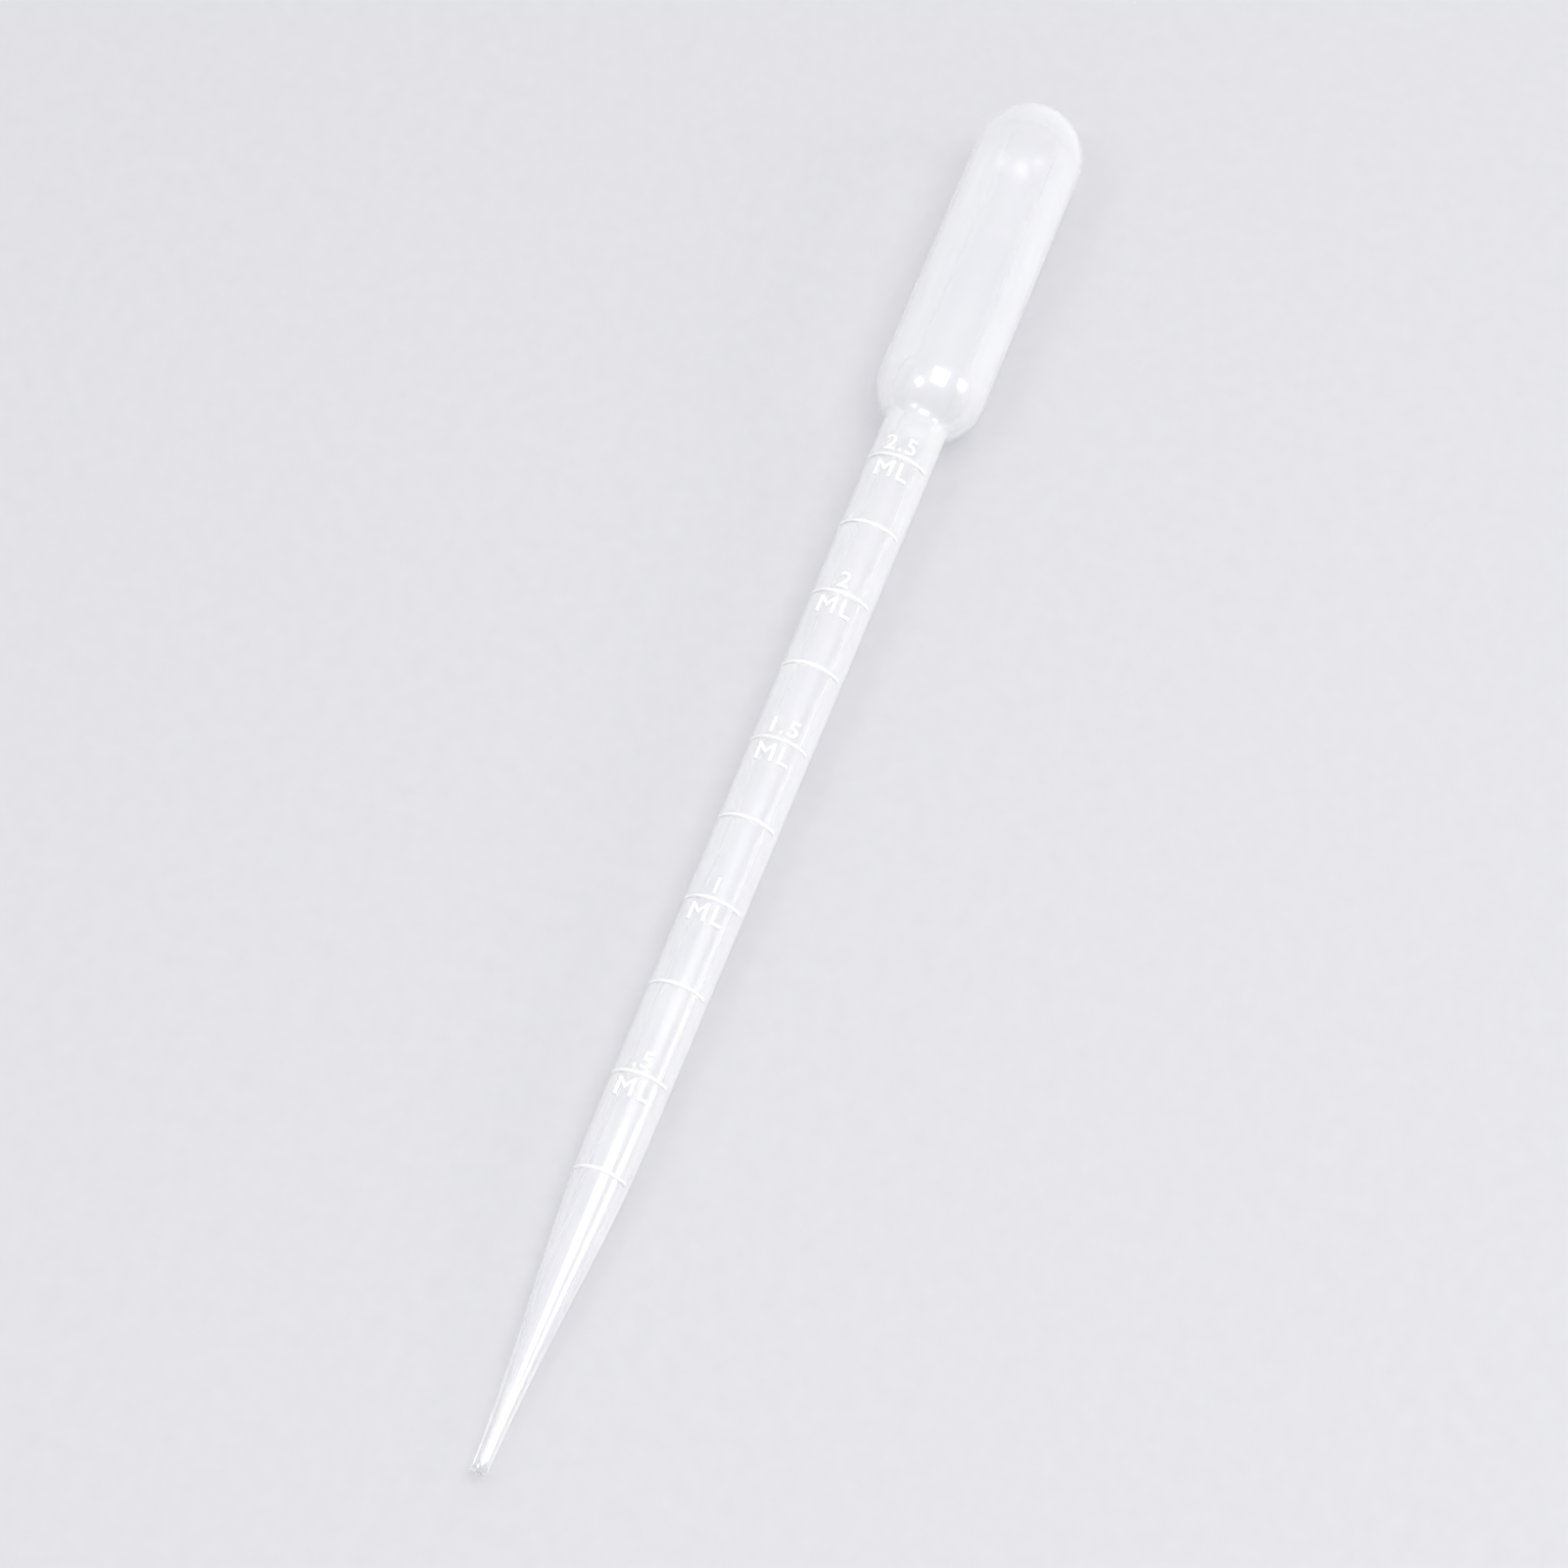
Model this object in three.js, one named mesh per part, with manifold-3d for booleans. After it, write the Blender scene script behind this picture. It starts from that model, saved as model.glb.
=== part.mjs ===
// A graduated dropper pipette, blow moulded in one piece from soft polyethylene.
// It is drawn upright, with its nozzle tip at y = 0 and its bulb at the top, and then
// laid on its side on the plane z = 0. All lengths are millimetres.
import * as THREE from 'three';
import { mergeVertices } from 'three/addons/utils/BufferGeometryUtils.js';
import Module from 'manifold-3d';

// ------------------------------------------------------------------ driving dimensions
const TOTAL_LENGTH = 165;

// squeeze bulb, measured from the corner where the stem runs into it
const BULB_LENGTH = 42;
const BULB_DIAMETER = 11.7;
const BULB_WALL = 0.38;
const SHOULDER_LENGTH = 4.9;
const DOME_LENGTH = 6.3;

// stem
const NECK_DIAMETER = 6.8;
const NECK_FILLET = 0.7;
const STEM_WALL = 0.3;

// drawn-out nozzle
const NOZZLE_LENGTH = 37;
const NOZZLE_ROOT_DIAMETER = 6.1;
const TIP_DIAMETER = 1.8;
const TIP_BORE = 0.9;
const TIP_FLARE = 0.1;            // growth in radius over the slim first third

// raised graduation: a line for each step, with a number and a unit at every second one
const MARK_STEP = 0.25;           // millilitres
const NUMBER_EVERY = 2;
const MARK_TO_NECK = 4;           // stem kept plain under the bulb
const MARK_ARC = THREE.MathUtils.degToRad(140);   // how far round the stem a line runs
const MARK_WIDTH = 0.3;
const MARK_FLANK = 0.12;          // sloped side of a line, along the stem
const UNIT = 'ML';
const NUMBER_HEIGHT = 1.9;
const UNIT_HEIGHT = 2.1;
const LETTER_STROKE = 0.34;
const LETTER_SPACE = 0.8;         // between two letters, stroke centre to stroke centre
const LETTER_TO_LINE = 0.75;      // from a line's centre to the nearest stroke centre
const RELIEF_HEIGHT = 0.2;
const LETTER_ROOT = 0.14;         // part of a letter that lies inside the wall

// facets round the axis; an even number keeps one of them straight under the pipette
const SIDES = 32;
const FACET = 2 * Math.PI / SIDES;

const NECK_Y = TOTAL_LENGTH - BULB_LENGTH;
const SHOULDER_Y = NECK_Y + SHOULDER_LENGTH;
const DOME_Y = TOTAL_LENGTH - DOME_LENGTH;
const MM3_PER_ML = 1000;

// ------------------------------------------------------------------ wall outlines
// The shoulder is a quarter of an ellipse whose lower part is cut off by the stem.
const neckAngle = Math.asin(NECK_DIAMETER / BULB_DIAMETER);

const outside = {
  tip: TIP_DIAMETER / 2,
  root: NOZZLE_ROOT_DIAMETER / 2,
  neck: NECK_DIAMETER / 2,
  bulb: BULB_DIAMETER / 2,
  shoulder: SHOULDER_LENGTH / Math.cos(neckAngle),
  dome: DOME_LENGTH,
  fillet: NECK_FILLET,
};

const inside = {
  tip: TIP_BORE / 2,
  root: outside.root - STEM_WALL,
  neck: outside.neck - STEM_WALL,
  bulb: outside.bulb - BULB_WALL,
  shoulder: outside.shoulder - BULB_WALL,
  dome: outside.dome - BULB_WALL,
  fillet: NECK_FILLET + STEM_WALL,
};

// Points (radius, y) of one wall surface, from the nozzle tip up to the top of the dome.
function outline(wall) {
  const startAngle = Math.asin(wall.neck / wall.bulb);
  const neckY = SHOULDER_Y - wall.shoulder * Math.cos(startAngle);
  const stemSlope = (wall.neck - wall.root) / (neckY - NOZZLE_LENGTH);

  const nozzle = new THREE.CubicBezierCurve(
    new THREE.Vector2(wall.tip, 0),
    new THREE.Vector2(wall.tip + TIP_FLARE, NOZZLE_LENGTH / 3),
    new THREE.Vector2(wall.root - stemSlope * NOZZLE_LENGTH / 3, NOZZLE_LENGTH * 2 / 3),
    new THREE.Vector2(wall.root, NOZZLE_LENGTH),
  );

  const shoulderPoint = (angle) => new THREE.Vector2(
    wall.bulb * Math.sin(angle),
    SHOULDER_Y - wall.shoulder * Math.cos(angle),
  );
  const filletEnd = startAngle + wall.fillet / wall.bulb;
  const fillet = new THREE.QuadraticBezierCurve(
    new THREE.Vector2(wall.neck - stemSlope * wall.fillet, neckY - wall.fillet),
    new THREE.Vector2(wall.neck, neckY),
    shoulderPoint(filletEnd),
  );

  const points = [...nozzle.getPoints(9), ...fillet.getPoints(3)];
  const shoulderSteps = 5;
  for (let i = 1; i <= shoulderSteps; i += 1) {
    points.push(shoulderPoint(THREE.MathUtils.lerp(filletEnd, Math.PI / 2, i / shoulderSteps)));
  }
  const domeSteps = 7;
  for (let i = 0; i <= domeSteps; i += 1) {
    const angle = Math.PI / 2 * i / domeSteps;
    const radius = i < domeSteps ? wall.bulb * Math.cos(angle) : 0;
    points.push(new THREE.Vector2(radius, DOME_Y + wall.dome * Math.sin(angle)));
  }
  return points;
}

const outsidePoints = outline(outside);
const insidePoints = outline(inside);

// Radius of an outline at height y.
function radiusAt(points, y) {
  const above = points.findIndex((point) => point.y > y);
  if (above < 1) return points[0].x;
  const low = points[above - 1];
  const high = points[above];
  return THREE.MathUtils.mapLinear(y, low.y, high.y, low.x, high.x);
}

// ------------------------------------------------------------------ graduation lines
// Heights at which the bore holds each further step, counted from the tip.
function markHeights() {
  const heights = [];
  const slice = 0.01;
  let filled = 0;
  for (let y = 0; y < NECK_Y - MARK_TO_NECK; y += slice) {
    filled += Math.PI * radiusAt(insidePoints, y) ** 2 * slice / MM3_PER_ML;
    if (filled >= MARK_STEP * (heights.length + 1)) heights.push(y);
  }
  return heights;
}

const marks = markHeights();

// Four rings of points for each line: the foot of a flank, the two edges of its top, a foot.
const markRings = marks.flatMap((y) => [
  { y: y - MARK_WIDTH / 2 - MARK_FLANK, isRaised: false },
  { y: y - MARK_WIDTH / 2, isRaised: true },
  { y: y + MARK_WIDTH / 2, isRaised: true },
  { y: y + MARK_WIDTH / 2 + MARK_FLANK, isRaised: false },
]).map(({ y, isRaised }) => ({ x: radiusAt(outsidePoints, y), y, isRaised }));

const isClearOfMarks = (point) => marks.every(
  (y) => Math.abs(point.y - y) > MARK_WIDTH / 2 + MARK_FLANK,
);
const gradedOutside = [...outsidePoints.filter(isClearOfMarks), ...markRings]
  .sort((low, high) => low.y - high.y);

// The wall in one turn: down the inside from the dome, across the tip and up the outside.
// On the raised rings, the points within the lines' arc are pushed out.
function gradedWall() {
  const profile = [...insidePoints.toReversed(), ...gradedOutside];
  const wall = new THREE.LatheGeometry(profile, SIDES, FACET / 2);
  const corners = wall.attributes.position;
  for (let i = 0; i < corners.count; i += 1) {
    const x = corners.getX(i);
    const z = corners.getZ(i);
    const isInArc = Math.abs(Math.atan2(x, z)) < MARK_ARC / 2;
    if (!profile[i % profile.length].isRaised || !isInArc) continue;
    const reach = 1 + RELIEF_HEIGHT / Math.hypot(x, z);
    corners.setX(i, x * reach);
    corners.setZ(i, z * reach);
  }
  return wall;
}

// ------------------------------------------------------------------ raised letters
// Centre lines of each letter's strokes, on a grid 4 units high and 2 across. Strokes that
// meet run a little past one another.
const LETTER_UNITS = 4;
const LETTER_UNITS_ACROSS = { '.': 0, 1: 1, M: 3 };
const LETTERS = {
  0: [[[0.1, 4], [2, 4], [2, -0.3]], [[1.9, 0], [0, 0], [0, 4.3]]],
  1: [[[0.2, 3], [1, 3.9], [1, -0.3]]],
  2: [[[-0.3, 4], [2, 4], [2, 2], [0, 2], [0, 0], [2.3, 0]]],
  3: [[[-0.3, 4], [2, 4], [2, 0], [-0.3, 0]], [[0.3, 2], [1.9, 2]]],
  4: [[[0, 4.3], [0, 2], [1.9, 2]], [[2, 4.3], [2, -0.3]]],
  5: [[[2.3, 4], [0, 4], [0, 2], [2, 2], [2, 0], [-0.3, 0]]],
  6: [[[2.3, 4], [0, 4], [0, 0], [2, 0], [2, 2.1]], [[0.1, 2], [1.9, 2]]],
  7: [[[-0.3, 4], [2, 4], [2, -0.3]]],
  8: [[[0.1, 4], [2, 4], [2, -0.3]], [[1.9, 0], [0, 0], [0, 4.3]], [[0.1, 2], [1.9, 2]]],
  9: [[[-0.3, 0], [2, 0], [2, 4], [0, 4], [0, 1.9]], [[0.1, 2], [1.9, 2]]],
  '.': [[[0, -0.3], [0, 0.4]]],
  M: [[[0, -0.3], [0, 4.3]], [[0.2, 3.8], [1.5, 1.5], [2.8, 3.8]], [[3, 4.3], [3, -0.3]]],
  L: [[[0, 4.3], [0, 0], [2.3, 0]]],
};

// The outline of a stroke of even width along a bent centre line, mitred at its corners.
function strokeOutline(points) {
  const runs = points.slice(1).map((point, i) => point.clone().sub(points[i]).normalize());
  const mitres = points.map((point, i) => {
    const arriving = runs[Math.max(i - 1, 0)];
    const leaving = runs[Math.min(i, runs.length - 1)];
    const across = new THREE.Vector2(-arriving.y - leaving.y, arriving.x + leaving.x);
    return across.multiplyScalar(LETTER_STROKE / 2 / (1 + arriving.dot(leaving)));
  });
  const left = points.map((point, i) => point.clone().add(mitres[i]));
  const right = points.map((point, i) => point.clone().sub(mitres[i]));
  return [...right, ...left.reverse()];
}

// One stroke as a raised bar wrapped on the stem. Its points are (across, up) from the +Z line.
function raisedStroke(points, y) {
  const bar = new THREE.ExtrudeGeometry(new THREE.Shape(strokeOutline(points)), {
    depth: LETTER_ROOT + RELIEF_HEIGHT,
    bevelEnabled: false,
  });
  bar.translate(0, y, -LETTER_ROOT);
  const corners = bar.attributes.position;
  for (let i = 0; i < corners.count; i += 1) {
    const radius = radiusAt(outsidePoints, corners.getY(i));
    const angle = corners.getX(i) / radius;
    const reach = radius + corners.getZ(i);
    corners.setXYZ(i, reach * Math.sin(angle), corners.getY(i), reach * Math.cos(angle));
  }
  return bar;
}

// A word of raised letters centred on the +Z side, its feet at height y.
function raisedText(text, letterHeight, y) {
  const unit = letterHeight / LETTER_UNITS;
  const widthOf = (letter) => unit * (LETTER_UNITS_ACROSS[letter] ?? 2);
  const letters = [...text];
  const total = letters.reduce((sum, letter) => sum + widthOf(letter), 0)
    + LETTER_SPACE * (letters.length - 1);
  const strokes = [];
  let left = -total / 2;
  for (const letter of letters) {
    for (const stroke of LETTERS[letter]) {
      const points = stroke.map(([across, up]) => new THREE.Vector2(left + across * unit, up * unit));
      strokes.push(raisedStroke(points, y));
    }
    left += widthOf(letter) + LETTER_SPACE;
  }
  return strokes;
}

// A number above every second line and the unit below it.
function lettering() {
  return marks.flatMap((y, index) => {
    const step = index + 1;
    if (step % NUMBER_EVERY !== 0) return [];
    const number = String(Number((step * MARK_STEP).toFixed(2))).replace(/^0/, '');
    return [
      ...raisedText(number, NUMBER_HEIGHT, y + LETTER_TO_LINE),
      ...raisedText(UNIT, UNIT_HEIGHT, y - LETTER_TO_LINE - UNIT_HEIGHT),
    ];
  });
}

// ------------------------------------------------------------------ solids
const wasm = await Module();
wasm.setup();

function solidFrom(geometry) {
  geometry.deleteAttribute('normal');
  geometry.deleteAttribute('uv');
  const merged = mergeVertices(geometry, 1e-5);
  const corners = merged.index.array;
  const triangles = [];
  for (let i = 0; i < corners.length; i += 3) {
    const [a, b, c] = corners.slice(i, i + 3);
    const isFlat = a === b || b === c || c === a;
    if (!isFlat) triangles.push(a, b, c);
  }
  return new wasm.Manifold(new wasm.Mesh({
    numProp: 3,
    vertProperties: new Float32Array(merged.attributes.position.array),
    triVerts: new Uint32Array(triangles),
  }));
}

function geometryFrom(solid) {
  const mesh = solid.getMesh();
  const geometry = new THREE.BufferGeometry();
  geometry.setAttribute('position', new THREE.BufferAttribute(mesh.vertProperties, 3));
  geometry.setIndex(new THREE.BufferAttribute(mesh.triVerts, 1));
  geometry.computeVertexNormals();
  return geometry;
}

const body = lettering().reduce(
  (solid, stroke) => solid.add(solidFrom(stroke)),
  solidFrom(gradedWall()),
);

// ------------------------------------------------------------------ the pipette, laid down
const polyethylene = new THREE.MeshStandardMaterial({
  color: '#e9ecf0',
  roughness: 0.35,
  metalness: 0,
  transparent: true,
  opacity: 0.85,
});
const pipette = new THREE.Mesh(geometryFrom(body), polyethylene);
pipette.name = 'pipette';
pipette.rotation.z = -Math.PI / 2;

// Lying down, it touches the floor under the shoulder and under the root of the nozzle,
// and the slim tip stays just clear of it.
const rises = outsidePoints
  .filter((point) => point.y < SHOULDER_Y)
  .map((point) => (outside.bulb - point.x) / (SHOULDER_Y - point.y));
const restTilt = Math.atan(Math.cos(FACET / 2) * Math.min(...rises));

const laid = new THREE.Group();
laid.rotation.y = -restTilt;
laid.add(pipette);

const part = new THREE.Group();
part.add(laid);
const extent = new THREE.Box3().setFromObject(part, true);
const middle = extent.getCenter(new THREE.Vector3());
laid.position.set(-middle.x, -middle.y, -extent.min.z);

export default part;
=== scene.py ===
import math

import bmesh
import bpy
from mathutils import Matrix, Vector


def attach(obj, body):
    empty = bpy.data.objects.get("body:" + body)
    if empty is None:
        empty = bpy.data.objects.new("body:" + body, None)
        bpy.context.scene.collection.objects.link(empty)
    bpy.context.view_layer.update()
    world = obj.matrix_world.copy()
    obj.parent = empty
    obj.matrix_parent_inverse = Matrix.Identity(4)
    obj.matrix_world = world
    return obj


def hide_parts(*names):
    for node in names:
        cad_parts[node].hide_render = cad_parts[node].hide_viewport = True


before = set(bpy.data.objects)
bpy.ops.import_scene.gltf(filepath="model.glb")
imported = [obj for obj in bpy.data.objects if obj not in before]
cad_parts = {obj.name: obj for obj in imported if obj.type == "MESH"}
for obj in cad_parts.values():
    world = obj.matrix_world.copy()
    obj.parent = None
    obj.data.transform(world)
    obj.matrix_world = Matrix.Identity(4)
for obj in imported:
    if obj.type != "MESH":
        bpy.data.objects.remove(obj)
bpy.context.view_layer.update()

# ---------------------------------------------------------------- moulded wall
# The pipette is one wall of natural low-density polyethylene, a third of a millimetre thick:
# a squeeze bulb, a stem and a nozzle. It is blow moulded round, the nozzle is drawn out warm
# and cut square, and the graduation lines stand on it where they were cut into the mould.
MM = 0.001
length = 165.0
bulb_length, bulb_radius, bulb_wall = 42.0, 5.85, 0.38
shoulder_length, dome_length = 4.9, 6.3
neck_radius, neck_fillet, stem_wall = 3.4, 0.7, 0.3
nozzle_length, nozzle_root_radius = 37.0, 3.05
tip_radius, bore_radius, tip_flare = 0.9, 0.45, 0.1
neck_y = length - bulb_length
shoulder_y = neck_y + shoulder_length
dome_y = length - dome_length
shoulder_depth = shoulder_length / math.cos(math.asin(neck_radius / bulb_radius))

line_step = 250.0  # a quarter of a millilitre, in cubic millimetres
plain_stem = 4.0  # with no line on it, under the bulb
line_width, line_relief = 0.5, 0.2
line_arc = math.radians(140)

# The frame's solid has 32 flat sides. The round wall fits inside them, with room for its
# waviness and its parting line.
across_flats = math.cos(math.pi / 32)
skin_clearance = 0.06

nozzle_rings, stem_rings, corner_rings = 28, 60, 8
frame_nozzle_pieces = 9  # straight pieces that the frame's solid has along its nozzle
shoulder_rings, bulb_rings, dome_rings = 14, 24, 24


def wall_outline(tip, root, neck, bulb, shoulder, dome, fillet, nozzle_pieces=nozzle_rings):
    """Points (along, radius) of one side of the wall, from the tip to the top of the dome."""
    start = math.asin(neck / bulb)
    foot = shoulder_y - shoulder * math.cos(start)
    slope = (neck - root) / (foot - nozzle_length)

    def on_shoulder(angle):
        return Vector((shoulder_y - shoulder * math.cos(angle), bulb * math.sin(angle)))

    points = []
    handles = (
        Vector((0, tip)),
        Vector((nozzle_length / 3, tip + tip_flare)),
        Vector((nozzle_length * 2 / 3, root - slope * nozzle_length / 3)),
        Vector((nozzle_length, root)),
    )
    for step in range(nozzle_pieces + 1):
        t = step / nozzle_pieces
        shares = ((1 - t) ** 3, 3 * t * (1 - t) ** 2, 3 * t * t * (1 - t), t**3)
        points.append(sum((h * s for h, s in zip(handles, shares)), Vector((0, 0))))
    stem_top = foot - fillet
    for step in range(1, stem_rings):
        y = nozzle_length + (stem_top - nozzle_length) * step / stem_rings
        points.append(Vector((y, root + slope * (y - nozzle_length))))
    end = start + fillet / bulb
    corner = (Vector((stem_top, neck - slope * fillet)), Vector((foot, neck)), on_shoulder(end))
    for step in range(corner_rings + 1):
        t = step / corner_rings
        shares = ((1 - t) ** 2, 2 * t * (1 - t), t * t)
        points.append(sum((h * s for h, s in zip(corner, shares)), Vector((0, 0))))
    for step in range(1, shoulder_rings + 1):
        points.append(on_shoulder(end + (math.pi / 2 - end) * step / shoulder_rings))
    for step in range(1, bulb_rings):
        points.append(Vector((shoulder_y + (dome_y - shoulder_y) * step / bulb_rings, bulb)))
    for step in range(dome_rings + 1):
        angle = math.pi / 2 * step / dome_rings
        radius = bulb * math.cos(angle) if step < dome_rings else 0.0
        points.append(Vector((dome_y + dome * math.sin(angle), radius)))
    return points


outside = wall_outline(
    tip_radius,
    nozzle_root_radius,
    neck_radius,
    bulb_radius,
    shoulder_depth,
    dome_length - skin_clearance,
    neck_fillet,
)
inside_sizes = (
    bore_radius,
    nozzle_root_radius - stem_wall,
    neck_radius - stem_wall,
    bulb_radius - bulb_wall,
    shoulder_depth - bulb_wall,
    dome_length - bulb_wall,
    neck_fillet + stem_wall,
)
inside = wall_outline(*inside_sizes)


def radius_at(y, outline=outside):
    """The radius of one side of the wall at a height above the tip."""
    for low, high in zip(outline, outline[1:]):
        if low.x <= y <= high.x:
            return low.y + (high.y - low.y) * (y - low.x) / (high.x - low.x)
    return outline[-1].y


def heights_of_lines():
    """Heights at which the bore of the frame's solid holds each further step, from the tip."""
    bore = wall_outline(*inside_sizes, nozzle_pieces=frame_nozzle_pieces)
    slices_per_mm = 100
    heights, held = [], 0.0
    for cut in range(int((neck_y - plain_stem) * slices_per_mm)):
        y = cut / slices_per_mm
        held += math.pi * radius_at(y, bore) ** 2 / slices_per_mm
        if held >= line_step * (len(heights) + 1):
            heights.append(y)
    return heights


line_heights = heights_of_lines()


# The wall is turned as one skin, down the inside from the dome, across the cut tip and up the
# outside. Each ring has its place, its radius, how much of a line it carries, and whether it
# is on the outside. A line is a half-round ridge with a flat ring at each foot.
ridge_rings = 5
ridge_reach = line_width / 2 * (ridge_rings + 1) / ridge_rings
ridges = []
for height in line_heights:
    for step in range(-ridge_rings - 1, ridge_rings + 2):
        y = height + line_width / 2 * step / ridge_rings
        ridges.append((y, radius_at(y), max(1 - (step / ridge_rings) ** 2, 0.0), 1.0))
plain = [
    (p.x, p.y, 0.0, 1.0)
    for p in outside[1:]
    if all(abs(p.x - height) > ridge_reach + 0.005 for height in line_heights)
]
cut_round = 0.04
cut = [
    (0.0, bore_radius + cut_round, 0.0, 0.0),
    (0.0, tip_radius - cut_round, 0.0, 0.0),
    (cut_round, tip_radius, 0.0, 1.0),
]
rings = [(p.x, p.y, 0.0, 0.0) for p in reversed(inside)] + cut + sorted(plain + ridges)

profile = bpy.data.meshes.new("wall_profile")
profile.from_pydata(
    [
        (y * MM, 0.0, max(radius * across_flats - skin_clearance, 0) * MM)
        for y, radius, *_ in rings
    ],
    [(i, i + 1) for i in range(len(rings) - 1)],
    [],
)
for place_in_ring, name in ((2, "raised"), (3, "outer")):
    values = profile.attributes.new(name, "FLOAT", "POINT").data
    values.foreach_set("value", [ring[place_in_ring] for ring in rings])
wall = bpy.data.objects.new("pipette_wall", profile)
bpy.context.collection.objects.link(wall)

# The pipette lies on its bulb, where the shoulder ends, and on its nozzle, near the root.
rest_tilt = math.atan(
    across_flats
    * min((bulb_radius - p.y) / (shoulder_y - p.x) for p in outside if p.x < shoulder_y - 1)
)


def linear(hex_colour):
    """An sRGB hex colour as linear RGBA."""
    channels = [int(hex_colour[i : i + 2], 16) / 255 for i in (1, 3, 5)]
    bent = [c / 12.92 if c <= 0.04045 else ((c + 0.055) / 1.055) ** 2.4 for c in channels]
    return (*bent, 1.0)


def add(tree, kind, inputs=None, **settings):
    """Adds a node with its settings; an input is given a value or another node's socket."""
    made = tree.nodes.new(kind)
    for name, value in settings.items():
        setattr(made, name, value)
    for key, value in (inputs or {}).items():
        if isinstance(value, bpy.types.NodeSocket):
            tree.links.new(value, made.inputs[key])
        else:
            made.inputs[key].default_value = value
    return made


# Natural low-density polyethylene, blow moulded with no pigment. It is part crystalline, so
# it is milky: light comes through it blurred, and where the wall is seen edge-on it looks
# whiter. The mould leaves a soft gloss on it.
polyethylene = bpy.data.materials.new("natural_low_density_polyethylene_blow_moulded")
polyethylene.use_nodes = True
shading = polyethylene.node_tree
shading.nodes.clear()
place = add(shading, "ShaderNodeTexCoord").outputs["Object"]

# Cloudiness: the wall is a little milkier in patches of about 7 mm.
clouds = add(
    shading,
    "ShaderNodeTexNoise",
    {"Vector": place, "Scale": 1 / (7 * MM), "Detail": 2.0, "Roughness": 0.5},
)
milkiness = add(
    shading,
    "ShaderNodeMix",
    {"Factor": clouds.outputs["Fac"], 6: linear("#FEFEFE"), 7: linear("#F7F7FA")},
    data_type="RGBA",
)

# Draw lines: fine streaks along the pipette from the parison being drawn through its die.
# They are drawn coarse, up to 0.7 mm apart, so that they show.
along = add(
    shading,
    "ShaderNodeMapping",
    {"Vector": place, "Rotation": (0.0, -rest_tilt, 0.0), "Scale": (80.0, 1.0, 1.0)},
    vector_type="TEXTURE",
)
streaks = add(
    shading,
    "ShaderNodeTexNoise",
    {
        "Vector": along.outputs["Vector"],
        "Scale": 1 / (0.7 * MM),
        "Detail": 3.0,
        "Roughness": 0.6,
    },
)
gloss = add(
    shading,
    "ShaderNodeMapRange",
    {
        "Value": streaks.outputs["Fac"],
        "From Min": 0.3,
        "From Max": 0.7,
        "To Min": 0.18,
        "To Max": 0.24,
    },
)
lines_bump = add(
    shading,
    "ShaderNodeBump",
    {"Height": streaks.outputs["Fac"], "Strength": 0.12, "Distance": 0.02 * MM},
)

# Mould skin: a faint dimpling 0.8 mm across, where the wall set against the mould.
dimples = add(
    shading,
    "ShaderNodeTexNoise",
    {"Vector": place, "Scale": 1 / (1.6 * MM), "Detail": 1.0, "Roughness": 0.4},
)
skin_bump = add(
    shading,
    "ShaderNodeBump",
    {
        "Height": dimples.outputs["Fac"],
        "Normal": lines_bump.outputs["Normal"],
        "Strength": 0.3,
        "Distance": 0.06 * MM,
    },
)

# Clearness: light passes the wall blurred, less where it is seen edge-on through more
# plastic, and least in the raised lines and letters, where the plastic is thickest.
edge_on = add(shading, "ShaderNodeLayerWeight", {"Blend": 0.5}).outputs["Facing"]
rim_clearness = add(
    shading,
    "ShaderNodeMapRange",
    {"Value": edge_on, "From Min": 0.2, "From Max": 0.65, "To Min": 0.79, "To Max": 0.3},
)
thick = add(shading, "ShaderNodeAttribute", attribute_name="raised").outputs["Fac"]
mark_clearness = add(
    shading, "ShaderNodeMapRange", {"Value": thick, "To Min": 1.0, "To Max": 0.15}
)
clearness = add(
    shading,
    "ShaderNodeMath",
    {0: rim_clearness.outputs["Result"], 1: mark_clearness.outputs["Result"]},
    operation="MULTIPLY",
)
plastic = add(
    shading,
    "ShaderNodeBsdfPrincipled",
    {
        "Base Color": milkiness.outputs[2],
        "Roughness": gloss.outputs["Result"],
        "IOR": 1.51,
        "Transmission Weight": clearness.outputs["Value"],
        "Specular IOR Level": 0.15,
        "Coat Weight": 1.0,
        "Coat Roughness": 0.05,
        "Coat IOR": 1.51,
        "Sheen Weight": 0.35,
        "Sheen Roughness": 0.3,
        "Normal": skin_bump.outputs["Normal"],
    },
)
# Lamps shine through the thin wall, so the inside and the floor under it stay bright.
lamp_ray = add(shading, "ShaderNodeLightPath").outputs["Is Shadow Ray"]
let_through = add(shading, "ShaderNodeMath", {0: lamp_ray, 1: 0.82}, operation="MULTIPLY")
open_wall = add(shading, "ShaderNodeBsdfTransparent", {"Color": linear("#FAFAFB")})
lit_wall = add(
    shading,
    "ShaderNodeMixShader",
    {0: let_through.outputs[0], 1: plastic.outputs["BSDF"], 2: open_wall.outputs["BSDF"]},
)
add(shading, "ShaderNodeOutputMaterial", {"Surface": lit_wall.outputs[0]})

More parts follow.
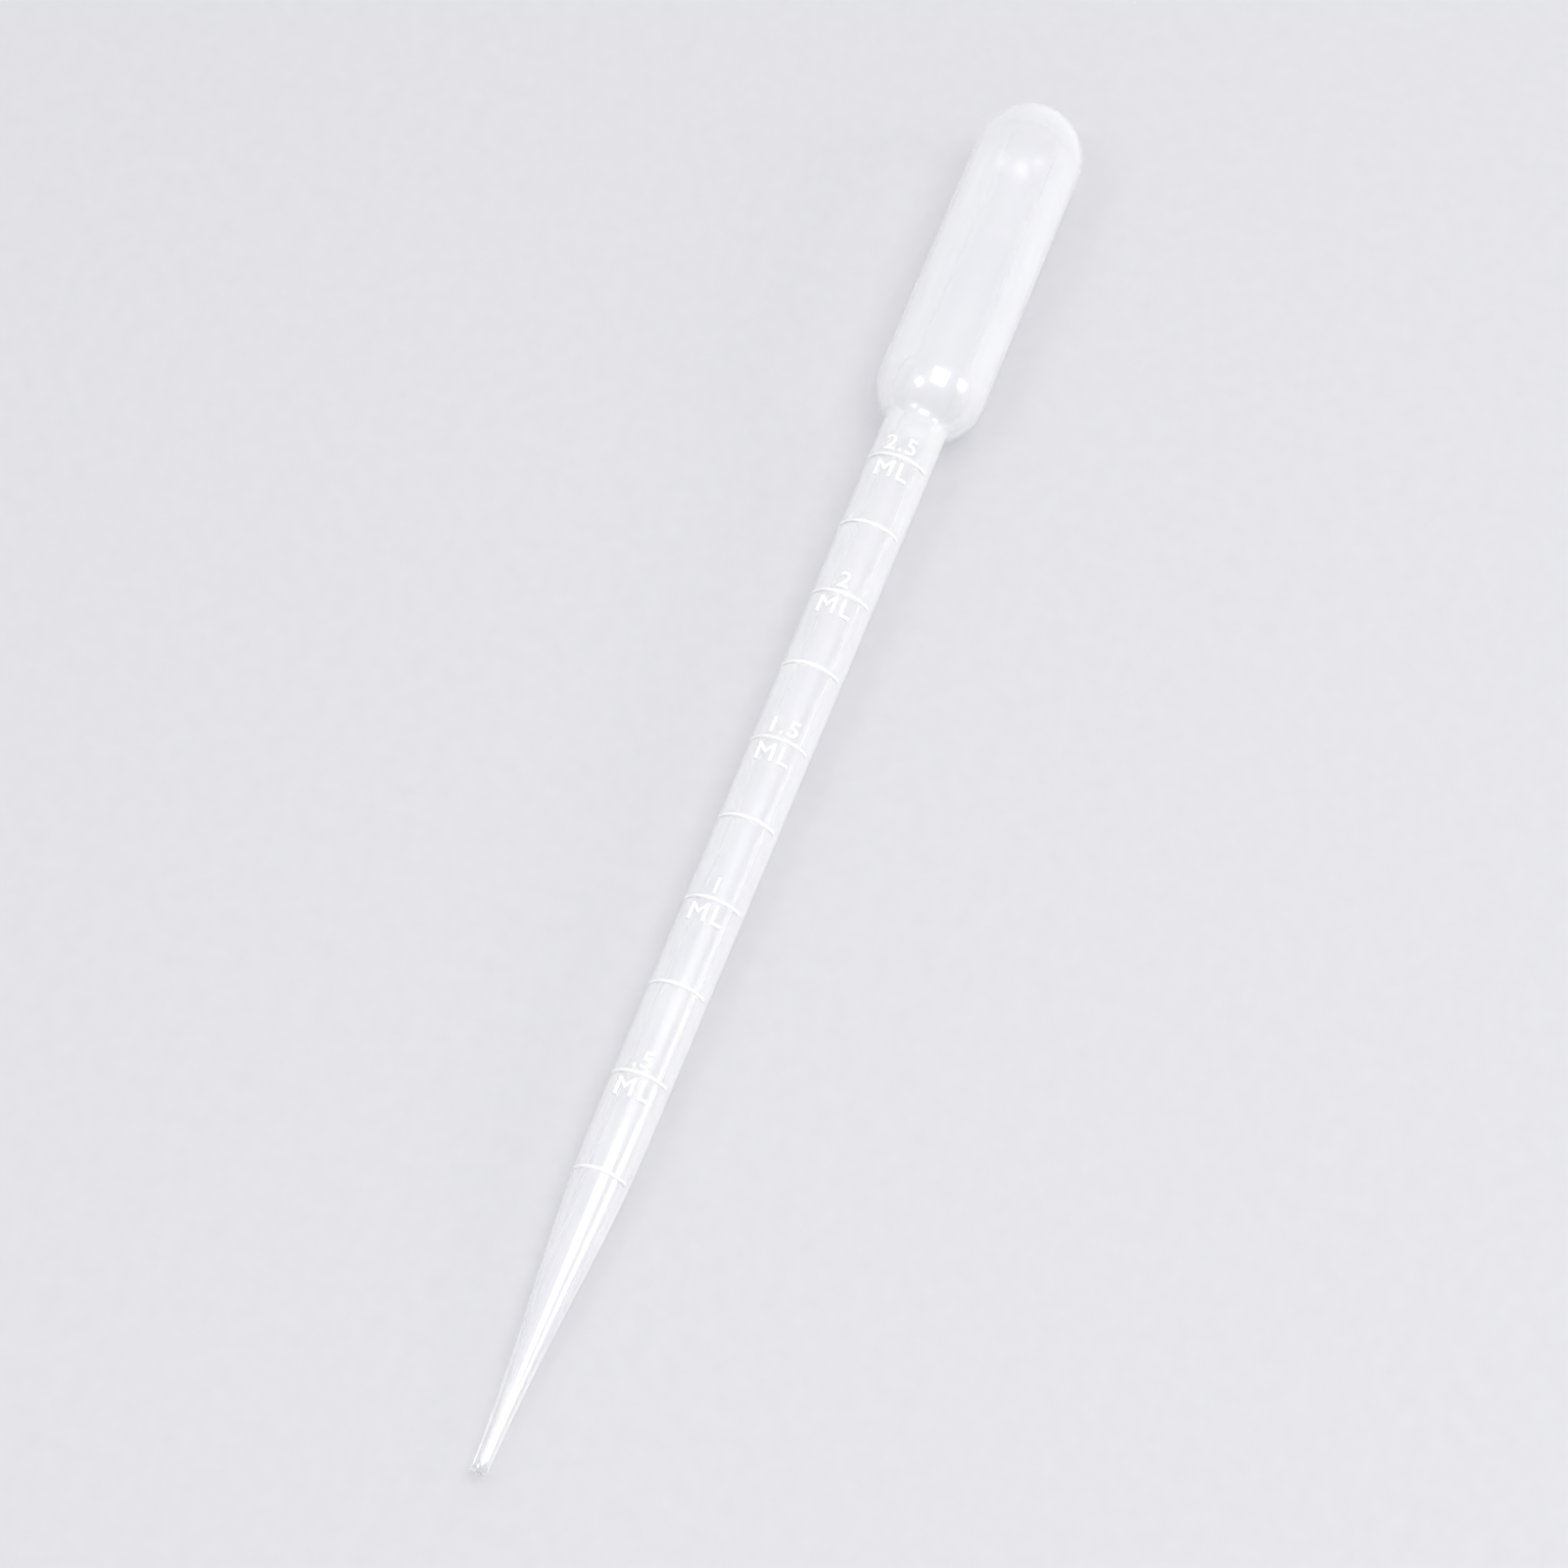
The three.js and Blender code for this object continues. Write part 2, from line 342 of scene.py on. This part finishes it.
# The turning: a sheet with a row for each ring and a column for each side is rolled round
# the x axis, each row at its ring's place and radius.
turning = bpy.data.node_groups.new("turned_wall", "GeometryNodeTree")
sockets = {}
for name, kind in (
    ("Profile", "NodeSocketGeometry"),
    ("Sides", "NodeSocketInt"),
    ("Line Relief", "NodeSocketFloat"),
    ("Line Arc", "NodeSocketFloat"),
    ("Arc Fade", "NodeSocketFloat"),
    ("Parting Width", "NodeSocketFloat"),
    ("Parting Relief", "NodeSocketFloat"),
    ("Waviness", "NodeSocketFloat"),
    ("Wave Length", "NodeSocketFloat"),
    ("Material", "NodeSocketMaterial"),
):
    sockets[name] = turning.interface.new_socket(name, in_out="INPUT", socket_type=kind)
turning.interface.new_socket("Wall", in_out="OUTPUT", socket_type="NodeSocketGeometry")
given = add(turning, "NodeGroupInput").outputs
ring_count = add(turning, "GeometryNodeAttributeDomainSize", {"Geometry": given["Profile"]})
columns = add(turning, "ShaderNodeMath", {0: given["Sides"], 1: 1.0}, operation="ADD")
sheet = add(
    turning,
    "GeometryNodeMeshGrid",
    {
        "Size X": 1.0,
        "Size Y": 1.0,
        "Vertices X": ring_count.outputs["Point Count"],
        "Vertices Y": columns.outputs[0],
    },
)
on_sheet = add(turning, "GeometryNodeInputPosition").outputs[0]
spot = add(turning, "ShaderNodeSeparateXYZ", {0: on_sheet})
last_ring = add(
    turning, "ShaderNodeMath", {0: ring_count.outputs["Point Count"], 1: 1.0}, operation="SUBTRACT"
)
share = add(turning, "ShaderNodeMath", {0: spot.outputs["X"], 1: 0.5}, operation="ADD")
ring_number = add(
    turning, "ShaderNodeMath", {0: share.outputs[0], 1: last_ring.outputs[0]}, operation="MULTIPLY"
)
ring_index = add(turning, "ShaderNodeMath", {0: ring_number.outputs[0]}, operation="ROUND")
raised_field, outer_field = (
    add(turning, "GeometryNodeInputNamedAttribute", {"Name": name}, data_type="FLOAT")
    for name in ("raised", "outer")
)
ring_values = []
for field, kind in (
    (on_sheet, "FLOAT_VECTOR"),
    (raised_field.outputs["Attribute"], "FLOAT"),
    (outer_field.outputs["Attribute"], "FLOAT"),
):
    sampled = add(turning, "GeometryNodeSampleIndex", data_type=kind)
    turning.links.new(given["Profile"], sampled.inputs["Geometry"])
    turning.links.new(field, sampled.inputs["Value"])
    turning.links.new(ring_index.outputs[0], sampled.inputs["Index"])
    ring_values.append(sampled.outputs["Value"])
ring_place, ring_raised, ring_outer = ring_values
turn = add(
    turning, "ShaderNodeMath", {0: spot.outputs["Y"], 1: 2 * math.pi}, operation="MULTIPLY"
)

# The lines stand on the top of the stem and fade out at both ends of their arc.
turn_size = add(turning, "ShaderNodeMath", {0: turn.outputs[0]}, operation="ABSOLUTE")
half_arc = add(turning, "ShaderNodeMath", {0: given["Line Arc"], 1: 0.5}, operation="MULTIPLY")
arc_core = add(
    turning, "ShaderNodeMath", {0: half_arc.outputs[0], 1: given["Arc Fade"]}, operation="SUBTRACT"
)
in_arc = add(
    turning,
    "ShaderNodeMapRange",
    {
        "Value": turn_size.outputs[0],
        "From Min": half_arc.outputs[0],
        "From Max": arc_core.outputs[0],
        "To Min": 0.0,
        "To Max": 1.0,
    },
    interpolation_type="SMOOTHSTEP",
)
line_here = add(
    turning,
    "ShaderNodeMath",
    {0: ring_raised, 1: in_arc.outputs["Result"]},
    operation="MULTIPLY",
)
relief = add(
    turning,
    "ShaderNodeMath",
    {0: line_here.outputs[0], 1: given["Line Relief"]},
    operation="MULTIPLY",
)
split = add(turning, "ShaderNodeSeparateXYZ", {0: ring_place})
radius = add(
    turning, "ShaderNodeMath", {0: split.outputs["Z"], 1: relief.outputs[0]}, operation="ADD"
)
sine = add(turning, "ShaderNodeMath", {0: turn.outputs[0]}, operation="SINE")
cosine = add(turning, "ShaderNodeMath", {0: turn.outputs[0]}, operation="COSINE")
left, up = (
    add(
        turning,
        "ShaderNodeMath",
        {0: radius.outputs[0], 1: part.outputs[0]},
        operation="MULTIPLY",
    )
    for part in (sine, cosine)
)
turned = add(
    turning,
    "ShaderNodeCombineXYZ",
    {"X": split.outputs["X"], "Y": left.outputs[0], "Z": up.outputs[0]},
)

# The blown wall is never quite straight: it wanders by a few hundredths of a millimetre.
slow = add(turning, "ShaderNodeVectorMath", {0: turned.outputs[0]}, operation="SCALE")
wave_share = add(turning, "ShaderNodeMath", {0: 1.0, 1: given["Wave Length"]}, operation="DIVIDE")
turning.links.new(wave_share.outputs[0], slow.inputs["Scale"])
wander = add(
    turning,
    "ShaderNodeTexNoise",
    {"Vector": slow.outputs[0], "Scale": 1.0, "Detail": 1.0},
)
centred = add(
    turning,
    "ShaderNodeVectorMath",
    {0: wander.outputs["Color"], 1: (0.5, 0.5, 0.5)},
    operation="SUBTRACT",
)
sideways = add(
    turning,
    "ShaderNodeVectorMath",
    {0: centred.outputs[0], 1: (0.0, 1.0, 1.0)},
    operation="MULTIPLY",
)
drift = add(turning, "ShaderNodeVectorMath", {0: sideways.outputs[0]}, operation="SCALE")
turning.links.new(given["Waviness"], drift.inputs["Scale"])

# The mould halves meet at the sides: a ridge runs along both and over the end of the dome.
off_plane = add(turning, "ShaderNodeMath", {0: up.outputs[0]}, operation="ABSOLUTE")
on_parting = add(
    turning,
    "ShaderNodeMapRange",
    {
        "Value": off_plane.outputs[0],
        "From Min": given["Parting Width"],
        "From Max": 0.0,
        "To Min": 0.0,
        "To Max": ring_outer,
    },
)
marked, parted = (
    add(
        turning,
        "GeometryNodeStoreNamedAttribute",
        {"Name": name, "Value": value},
        data_type="FLOAT",
        domain="POINT",
    )
    for name, value in (
        ("raised", line_here.outputs[0]),
        ("parting", on_parting.outputs["Result"]),
    )
)
turning.links.new(sheet.outputs["Mesh"], marked.inputs["Geometry"])
turning.links.new(marked.outputs[0], parted.inputs["Geometry"])
shaped = add(
    turning,
    "GeometryNodeSetPosition",
    {"Geometry": parted.outputs[0], "Position": turned.outputs[0], "Offset": drift.outputs[0]},
)
# the sheet's long edges meet here, and so do the points at the two ends of the dome
closed = add(
    turning, "GeometryNodeMergeByDistance", {"Geometry": shaped.outputs[0], "Distance": 1e-7}
)
parting = add(turning, "GeometryNodeInputNamedAttribute", {"Name": "parting"}, data_type="FLOAT")
lift = add(
    turning,
    "ShaderNodeMath",
    {0: parting.outputs["Attribute"], 1: given["Parting Relief"]},
    operation="MULTIPLY",
)
facing = add(turning, "GeometryNodeInputNormal").outputs[0]
outward = add(turning, "ShaderNodeVectorMath", {0: facing}, operation="SCALE")
turning.links.new(lift.outputs[0], outward.inputs["Scale"])
seamed = add(
    turning,
    "GeometryNodeSetPosition",
    {"Geometry": closed.outputs[0], "Offset": outward.outputs[0]},
)
smooth = add(turning, "GeometryNodeSetShadeSmooth", {"Geometry": seamed.outputs[0]})
real = add(turning, "GeometryNodeRealizeInstances", {"Geometry": smooth.outputs[0]})
coated = add(
    turning,
    "GeometryNodeSetMaterial",
    {"Geometry": real.outputs[0], "Material": given["Material"]},
)
add(turning, "NodeGroupOutput", {"Wall": coated.outputs[0]})

maker = wall.modifiers.new("turned_wall", "NODES")
maker.node_group = turning
for name, value in (
    ("Sides", 144),
    ("Line Relief", line_relief * MM),
    ("Line Arc", line_arc),
    ("Arc Fade", math.radians(7)),
    ("Parting Width", 0.25 * MM),
    ("Parting Relief", 0.04 * MM),
    ("Waviness", 0.05 * MM),
    ("Wave Length", 14 * MM),
    ("Material", polyethylene),
):
    maker[sockets[name].identifier] = value
wall_mesh = bpy.data.meshes.new_from_object(
    wall.evaluated_get(bpy.context.evaluated_depsgraph_get())
)
wall.modifiers.clear()
wall.data = wall_mesh

# It is laid down as the frame's solid lies, and set on the floor.
wall_mesh.transform(Matrix.Rotation(-rest_tilt, 4, "Y"))
lowest = min(v.co.z for v in wall_mesh.vertices)
ends = [v.co.x for v in wall_mesh.vertices]
setting = Matrix.Translation((-(min(ends) + max(ends)) / 2, 0, -lowest))
wall_mesh.transform(setting)
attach(wall, "root")
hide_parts("pipette")

# ---------------------------------------------------------------- raised numbers and units
# Every second line carries its volume towards the bulb and the unit towards the tip. They
# are cut into the mould, so they stand on the stem as part of the wall, with soft edges.
number_height, unit_height = 1.9, 2.1
letter_to_line = 0.58
letter_relief, letter_root, letter_edge = 0.17, 0.08, 0.05
slice_width = 0.2
unrolled = bmesh.new()


def flat_word(text, cap_height, foot):
    """Adds a word to the unrolled skin of the stem: x along the pipette, y round it, z off it."""
    scale = cap_height / 0.729  # capitals stand 0.729 of the type's size
    type_curve = bpy.data.curves.new("word", "FONT")
    type_curve.body = text
    type_curve.align_x = "CENTER"
    type_curve.resolution_u = 3
    type_curve.space_character = 1.12
    type_curve.extrude = ((letter_relief + letter_root) / 2 - letter_edge) / scale
    type_curve.bevel_depth = letter_edge / scale
    type_curve.bevel_resolution = 2
    type_curve.offset = -0.02 / scale
    typed = bpy.data.objects.new("word", type_curve)
    bpy.context.collection.objects.link(typed)
    word_mesh = bpy.data.meshes.new_from_object(
        typed.evaluated_get(bpy.context.evaluated_depsgraph_get())
    )
    bpy.data.objects.remove(typed)
    word = bmesh.new()
    word.from_mesh(word_mesh)
    bmesh.ops.remove_doubles(word, verts=word.verts, dist=1e-5)
    half = max(abs(v.co.x) for v in word.verts)
    slices = int(2 * half * scale / slice_width)
    for cut_number in range(1, slices):  # sliced across, so that it bends round the stem
        bmesh.ops.bisect_plane(
            word,
            geom=[*word.verts, *word.edges, *word.faces],
            plane_co=(half * (2 * cut_number / slices - 1), 0, 0),
            plane_no=(1, 0, 0),
        )
    bmesh.ops.recalc_face_normals(word, faces=word.faces)
    raise_by = (letter_relief - letter_root) / 2
    for v in word.verts:
        v.co = Vector((foot + v.co.y * scale, -v.co.x * scale, raise_by + v.co.z * scale)) * MM
    word.to_mesh(word_mesh)
    word.free()
    unrolled.from_mesh(word_mesh)


for index, height in enumerate(line_heights, start=1):
    if index % 2 == 0:
        flat_word(f"{index * 0.25:g}".lstrip("0"), number_height, height + letter_to_line)
        flat_word("ML", unit_height, height - letter_to_line - unit_height)
words = bpy.data.meshes.new("pipette_lettering")
unrolled.to_mesh(words)
unrolled.free()
letters = bpy.data.objects.new("pipette_lettering", words)
bpy.context.collection.objects.link(letters)

# The wrapping: the flat words are bent round the stem, which widens evenly from its foot.
wrapping = bpy.data.node_groups.new("wrapped_on_stem", "GeometryNodeTree")
stem_sockets = {}
for name, kind in (
    ("Words", "NodeSocketGeometry"),
    ("Foot Radius", "NodeSocketFloat"),
    ("Foot Place", "NodeSocketFloat"),
    ("Slope", "NodeSocketFloat"),
    ("Soft Angle", "NodeSocketFloat"),
    ("Material", "NodeSocketMaterial"),
):
    stem_sockets[name] = wrapping.interface.new_socket(name, in_out="INPUT", socket_type=kind)
wrapping.interface.new_socket("Lettering", in_out="OUTPUT", socket_type="NodeSocketGeometry")
stem = add(wrapping, "NodeGroupInput").outputs
flat = add(
    wrapping, "ShaderNodeSeparateXYZ", {0: add(wrapping, "GeometryNodeInputPosition").outputs[0]}
)
past_foot = add(
    wrapping, "ShaderNodeMath", {0: flat.outputs["X"], 1: stem["Foot Place"]}, operation="SUBTRACT"
)
skin = add(
    wrapping,
    "ShaderNodeMath",
    {0: past_foot.outputs[0], 1: stem["Slope"], 2: stem["Foot Radius"]},
    operation="MULTIPLY_ADD",
)
bend = add(
    wrapping, "ShaderNodeMath", {0: flat.outputs["Y"], 1: skin.outputs[0]}, operation="DIVIDE"
)
reach = add(
    wrapping, "ShaderNodeMath", {0: skin.outputs[0], 1: flat.outputs["Z"]}, operation="ADD"
)
round_y, round_z = (
    add(
        wrapping,
        "ShaderNodeMath",
        {
            0: reach.outputs[0],
            1: add(wrapping, "ShaderNodeMath", {0: bend.outputs[0]}, operation=part).outputs[0],
        },
        operation="MULTIPLY",
    )
    for part in ("SINE", "COSINE")
)
on_stem = add(
    wrapping,
    "ShaderNodeCombineXYZ",
    {"X": flat.outputs["X"], "Y": round_y.outputs[0], "Z": round_z.outputs[0]},
)
wrapped = add(
    wrapping,
    "GeometryNodeSetPosition",
    {"Geometry": stem["Words"], "Position": on_stem.outputs[0]},
)
thickened = add(
    wrapping,
    "GeometryNodeStoreNamedAttribute",
    {"Geometry": wrapped.outputs[0], "Name": "raised", "Value": 1.0},
    data_type="FLOAT",
    domain="POINT",
)
softened = add(wrapping, "GeometryNodeSetShadeSmooth", {"Geometry": thickened.outputs[0]})
sharp = add(
    wrapping,
    "FunctionNodeCompare",
    {0: add(wrapping, "GeometryNodeInputMeshEdgeAngle").outputs[0], 1: stem["Soft Angle"]},
    data_type="FLOAT",
    operation="GREATER_THAN",
)
edged = add(
    wrapping,
    "GeometryNodeSetShadeSmooth",
    {"Geometry": softened.outputs[0], "Selection": sharp.outputs[0], "Shade Smooth": False},
    domain="EDGE",
)
solid = add(wrapping, "GeometryNodeRealizeInstances", {"Geometry": edged.outputs[0]})
finished = add(
    wrapping,
    "GeometryNodeSetMaterial",
    {"Geometry": solid.outputs[0], "Material": stem["Material"]},
)
add(wrapping, "NodeGroupOutput", {"Lettering": finished.outputs[0]})

stem_end = neck_y - 2
wrapper = letters.modifiers.new("wrapped_on_stem", "NODES")
wrapper.node_group = wrapping
for name, value in (
    ("Foot Radius", (radius_at(nozzle_length) * across_flats - skin_clearance) * MM),
    ("Foot Place", nozzle_length * MM),
    ("Slope", (radius_at(stem_end) - radius_at(nozzle_length)) / (stem_end - nozzle_length)),
    ("Soft Angle", math.radians(40)),
    ("Material", polyethylene),
):
    wrapper[stem_sockets[name].identifier] = value
lettering_mesh = bpy.data.meshes.new_from_object(
    letters.evaluated_get(bpy.context.evaluated_depsgraph_get())
)
letters.modifiers.clear()
letters.data = lettering_mesh
lettering_mesh.transform(setting @ Matrix.Rotation(-rest_tilt, 4, "Y"))
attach(letters, "root")

# ---------------------------------------------------------------- floor
# A plain pale matt board, wide enough to fill the main view.
half_side = 3.0
board = bpy.data.materials.new("pale_matt_board")
board.use_nodes = True
board_shading = board.node_tree
board_shading.nodes.clear()
grain = add(
    board_shading,
    "ShaderNodeTexNoise",
    {
        "Vector": add(board_shading, "ShaderNodeTexCoord").outputs["Object"],
        "Scale": 1 / (2 * MM),
        "Detail": 4.0,
    },
)
tone = add(
    board_shading,
    "ShaderNodeMix",
    {"Factor": grain.outputs["Fac"], 6: linear("#CBCBCE"), 7: linear("#D1D1D4")},
    data_type="RGBA",
)
matt = add(
    board_shading,
    "ShaderNodeBsdfPrincipled",
    {"Base Color": tone.outputs[2], "Roughness": 0.75, "IOR": 1.45},
)
add(board_shading, "ShaderNodeOutputMaterial", {"Surface": matt.outputs["BSDF"]})
floor_mesh = bpy.data.meshes.new("floor")
floor_mesh.from_pydata(
    [(x * half_side, y * half_side, 0) for x, y in ((-1, -1), (1, -1), (1, 1), (-1, 1))],
    [],
    [(0, 1, 2, 3)],
)
floor_mesh.materials.append(board)
floor = bpy.data.objects.new("floor", floor_mesh)
bpy.context.collection.objects.link(floor)

# ---------------------------------------------------------------- light
# A bright pale room and square soft boxes, whose reflections make the small square lights
# on the bulb's shoulder and the long streaks on its sides.
room = bpy.data.worlds.new("pale_room")
room.use_nodes = True
backdrop = room.node_tree.nodes["Background"]
backdrop.inputs["Color"].default_value = linear("#F6F6F8")
backdrop.inputs["Strength"].default_value = 0.75
bpy.context.scene.world = room


def soft_box(name, stand, size, power):
    """A square lamp that stands at a point and faces the middle of the floor."""
    lamp = bpy.data.lights.new(name, "AREA")
    lamp.shape = "SQUARE"
    lamp.size = size
    lamp.energy = power
    holder = bpy.data.objects.new(name, lamp)
    holder.location = stand
    holder.rotation_euler = (-Vector(stand)).to_track_quat("-Z", "Y").to_euler()
    bpy.context.collection.objects.link(holder)


soft_box("overhead_box", (0.0, -0.31, 0.95), 0.58, 4.5)
soft_box("left_box", (-0.36, 0.33, 0.88), 0.28, 1.4)
soft_box("right_box", (0.2, -0.9, 0.42), 0.3, 1.6)

# ---------------------------------------------------------------- camera
# It looks down at 59 degrees with a long lens, from beyond the tip, so that the nozzle
# points down to the left and the bulb up to the right.
middle = Vector((-0.005, -0.002, 0.006))
distance = 0.535
elevation, turned_by = math.radians(59), math.radians(20)
ground = Vector((math.cos(turned_by), math.sin(turned_by), 0))
to_camera = -ground * math.cos(elevation) + Vector((0, 0, math.sin(elevation)))
lens = bpy.data.cameras.new("camera")
lens.lens = 124
lens.sensor_width = 36
lens.clip_start, lens.clip_end = 0.01, 20
camera = bpy.data.objects.new("camera", lens)
camera.location = middle + to_camera * distance
camera.rotation_euler = (-to_camera).to_track_quat("-Z", "Y").to_euler()
bpy.context.collection.objects.link(camera)
bpy.context.scene.camera = camera
bpy.context.scene.view_settings.view_transform = "Standard"
